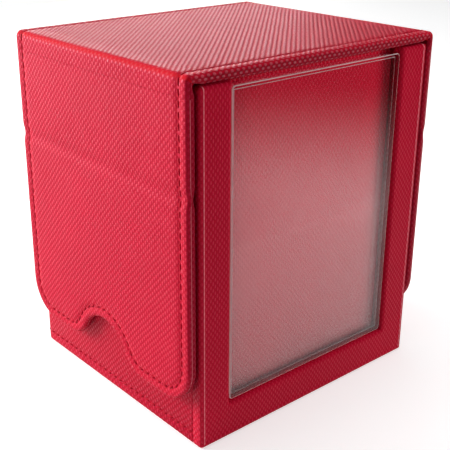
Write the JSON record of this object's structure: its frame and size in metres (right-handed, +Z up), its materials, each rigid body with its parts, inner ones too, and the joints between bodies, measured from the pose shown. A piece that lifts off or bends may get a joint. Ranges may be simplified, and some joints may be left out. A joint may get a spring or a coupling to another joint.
{
  "type": "card deck box",
  "caption": "Upright storage box for trading cards, with a magnetic saddle lid, a finger notch and a clear display case set into the front.",
  "frame": {"origin": "middle of the footprint, on the surface that the box stands on", "axes": "+Z up, -Y out of the display window, +X towards the hinge flap"},
  "size_m": [0.096, 0.0844, 0.108],
  "materials": {
    "leatherette": "satin bead-embossed leatherette",
    "microfibre": "short brushed nap",
    "greyboard": "matte pressed board",
    "magnet": "bright nickel plate",
    "clear_plastic": "clear polished styrene"
  },
  "bodies": {
    "box": {"back_wall_board": "greyboard", "back_wall_cover": "leatherette", "back_wall_lining": "microfibre", "display_backing_board": "greyboard", "display_backing_cover": "leatherette", "floor_board": "greyboard", "floor_cover": "leatherette", "floor_lining": "microfibre", "front_wall_lining": "microfibre", "left_wall_board": "greyboard", "left_wall_cover": "leatherette", "left_wall_lining": "microfibre", "left_wall_magnet_front": "magnet", "left_wall_magnet_rear": "magnet", "right_wall_board": "greyboard", "right_wall_cover": "leatherette", "right_wall_lining": "microfibre", "right_wall_magnet_front": "magnet", "right_wall_magnet_rear": "magnet", "window_bottom_rail": "greyboard", "window_frame_cover": "leatherette", "window_left_rail": "greyboard", "window_right_rail": "greyboard"},
    "display_case": {"case_back": "clear_plastic"},
    "display_case_cover": {"case_cover": "clear_plastic"},
    "hinge_flap_upper": {"hinge_flap_crease_strip": "leatherette", "hinge_flap_fold_strip": "leatherette", "hinge_flap_upper_board": "greyboard", "hinge_flap_upper_cover": "leatherette", "hinge_flap_upper_lining": "microfibre"},
    "hinge_flap_lower": {"hinge_flap_lower_board": "greyboard", "hinge_flap_lower_cover": "leatherette", "hinge_flap_lower_lining": "microfibre", "hinge_flap_magnet_front": "magnet", "hinge_flap_magnet_rear": "magnet"},
    "lid_top": {"lid_top_board": "greyboard", "lid_top_cover": "leatherette", "lid_top_lining": "microfibre", "opening_flap_fold_strip": "leatherette"},
    "opening_flap_upper": {"opening_flap_crease_strip": "leatherette", "opening_flap_upper_board": "greyboard", "opening_flap_upper_cover": "leatherette", "opening_flap_upper_lining": "microfibre"},
    "opening_flap_lower": {"opening_flap_lower_board": "greyboard", "opening_flap_lower_cover": "leatherette", "opening_flap_lower_lining": "microfibre", "opening_flap_magnet_front": "magnet", "opening_flap_magnet_rear": "magnet"}
  },
  "joints": [
    {"name": "lid_lift", "type": "slide", "parent": "box", "child": "hinge_flap_upper", "axis": [0, 0, 1], "range_m": [0, 0.1]},
    {"name": "hinge_flap_crease", "type": "hinge", "parent": "hinge_flap_upper", "child": "hinge_flap_lower", "pos_m": [0.0472, 0, 0.076], "axis": [0, -1, 0], "range_deg": [0, 90]},
    {"name": "lid_open", "type": "hinge", "parent": "hinge_flap_upper", "child": "lid_top", "pos_m": [0.0472, 0, 0.1072], "axis": [0, 1, 0], "range_deg": [0, 175]},
    {"name": "opening_flap_fold", "type": "hinge", "parent": "lid_top", "child": "opening_flap_upper", "pos_m": [-0.0472, 0, 0.1072], "axis": [0, 1, 0], "range_deg": [0, 90]},
    {"name": "opening_flap_crease", "type": "hinge", "parent": "opening_flap_upper", "child": "opening_flap_lower", "pos_m": [-0.0472, 0, 0.076], "axis": [0, 1, 0], "range_deg": [0, 90]},
    {"name": "display_case_pull", "type": "slide", "parent": "box", "child": "display_case", "axis": [0, -1, 0], "range_m": [0, 0.03]},
    {"name": "case_cover_off", "type": "slide", "parent": "display_case", "child": "display_case_cover", "axis": [0, -1, 0], "range_m": [0, 0.012]}
  ]
}
